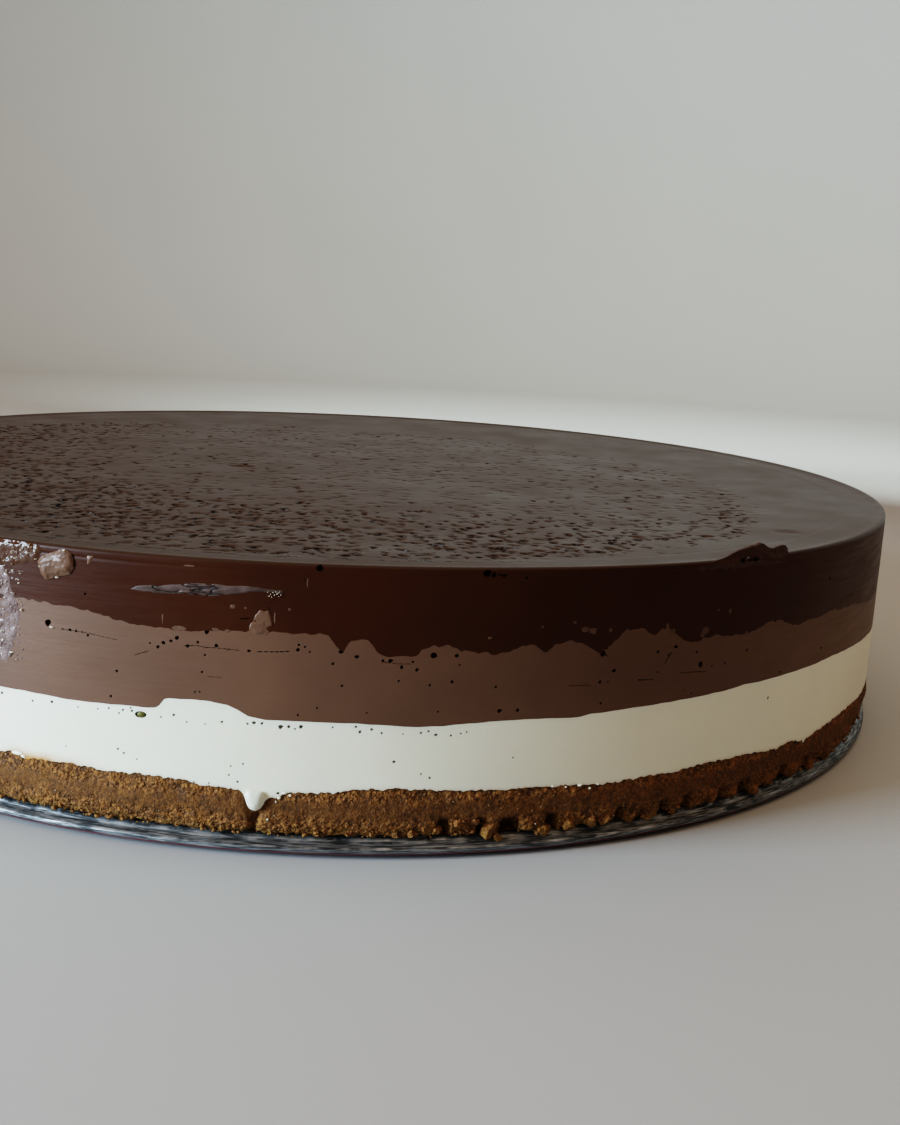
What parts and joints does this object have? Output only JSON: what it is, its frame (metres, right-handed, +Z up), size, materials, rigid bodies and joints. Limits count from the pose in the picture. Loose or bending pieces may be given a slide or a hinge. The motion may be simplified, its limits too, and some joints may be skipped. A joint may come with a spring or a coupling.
{
  "type": "triple chocolate cake",
  "caption": "Round layered chocolate mousse cake on a biscuit crumb base, resting on the steel base disc of its springform tin.",
  "frame": {"origin": "on the table under the middle of the tin's disc, at the bottom centre of the whole", "axes": "+Z up, -Y towards the front that the picture shows, +X to its right"},
  "size_m": [0.2414, 0.2412, 0.0481],
  "materials": {
    "tin": "worn, spun",
    "biscuit": "pressed crumbs, dry",
    "white_chocolate": "set cream, satin",
    "milk_chocolate": "set mousse, satin",
    "dark_chocolate": "set mousse, moist gloss"
  },
  "bodies": {
    "root": {"tin_base": "tin", "biscuit_base": "biscuit", "white_chocolate_layer": "white_chocolate", "milk_chocolate_layer": "milk_chocolate", "dark_chocolate_layer": "dark_chocolate"}
  },
  "joints": []
}
